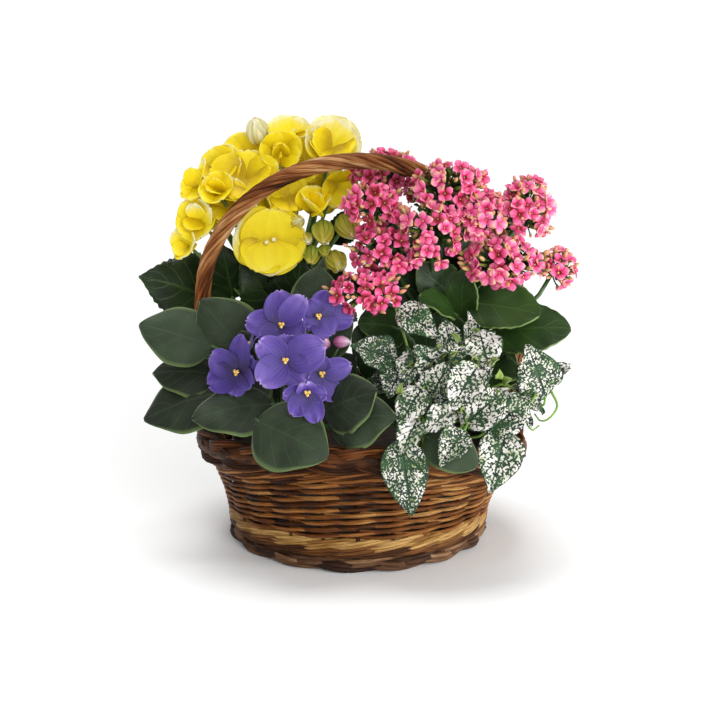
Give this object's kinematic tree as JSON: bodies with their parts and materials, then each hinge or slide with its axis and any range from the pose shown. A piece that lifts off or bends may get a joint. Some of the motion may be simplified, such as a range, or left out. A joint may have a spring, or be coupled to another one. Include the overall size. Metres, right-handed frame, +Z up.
{
  "type": "flower basket arrangement",
  "caption": "Round woven willow basket with a bow handle, filled with potting soil and planted with violet, begonia, kalanchoe and polka dot plants.",
  "frame": {"origin": "middle of the basket's flat underside", "axes": "+Z up; X along the handle, from end to end; the violet and the polka dot plant stand at the front, towards -Y"},
  "size_m": [0.3139, 0.2394, 0.2997],
  "materials": {
    "willow": "satin willow rods, peeled and stained brown",
    "dark_willow": "satin willow rods, darker and more worn",
    "handle_willow": "satin twisted willow rods with a red-brown bark",
    "liner_film": "thin dark waterproof sheet",
    "soil": "moist crumbly potting soil",
    "violet_leaf": "thick hairy living leaf",
    "violet_petal": "velvety living petal",
    "anther": "powdery yellow anther",
    "begonia_leaf": "glossy dark living leaf",
    "begonia_petal": "waxy translucent living petal",
    "kalanchoe_leaf": "waxy fleshy living leaf",
    "kalanchoe_petal": "satin living petal",
    "polka_leaf": "matt living leaf, white with dark green speckles"
  },
  "bodies": {
    "root": {"basket_handle": "handle_willow", "basket_base": "dark_willow", "basket_foot": "dark_willow", "basket_border": "willow", "basket_wall": "willow", "liner": "liner_film", "violet_eye_1": "anther", "violet_eye_2": "anther", "violet_eye_3": "anther", "violet_eye_4": "anther", "violet_eye_5": "anther", "violet_eye_6": "anther", "violet_eye_7": "anther", "violet_bloom_1": "violet_petal", "violet_bloom_2": "violet_petal", "violet_bloom_3": "violet_petal", "violet_bloom_4": "violet_petal", "violet_bloom_5": "violet_petal", "violet_bloom_6": "violet_petal", "violet_bloom_7": "violet_petal", "begonia_bloom_1": "begonia_petal", "begonia_bloom_2": "begonia_petal", "begonia_bloom_3": "begonia_petal", "begonia_bloom_4": "begonia_petal", "begonia_bloom_5": "begonia_petal", "begonia_bloom_6": "begonia_petal", "begonia_bloom_7": "begonia_petal", "begonia_bloom_8": "begonia_petal", "begonia_bloom_9": "begonia_petal", "begonia_bloom_10": "begonia_petal", "begonia_bloom_11": "begonia_petal", "begonia_bloom_12": "begonia_petal", "begonia_bloom_13": "begonia_petal", "begonia_bloom_14": "begonia_petal", "begonia_bloom_15": "begonia_petal", "begonia_bloom_16": "begonia_petal", "kalanchoe_head_1": "kalanchoe_petal", "kalanchoe_head_2": "kalanchoe_petal", "kalanchoe_head_3": "kalanchoe_petal", "kalanchoe_head_4": "kalanchoe_petal", "kalanchoe_head_5": "kalanchoe_petal", "kalanchoe_head_6": "kalanchoe_petal", "kalanchoe_head_7": "kalanchoe_petal", "kalanchoe_head_8": "kalanchoe_petal", "kalanchoe_head_9": "kalanchoe_petal", "kalanchoe_head_10": "kalanchoe_petal", "kalanchoe_head_11": "kalanchoe_petal", "kalanchoe_head_12": "kalanchoe_petal", "kalanchoe_head_13": "kalanchoe_petal", "violet_side_leaf": "violet_leaf", "polka_stem_1": "polka_leaf", "polka_stem_2": "polka_leaf", "polka_stem_3": "polka_leaf", "polka_stem_4": "polka_leaf", "polka_stem_5": "polka_leaf", "polka_stem_6": "polka_leaf", "violet_foliage": "violet_leaf", "kalanchoe_foliage": "kalanchoe_leaf", "begonia_foliage": "begonia_leaf", "potting_soil": "soil"}
  },
  "joints": []
}
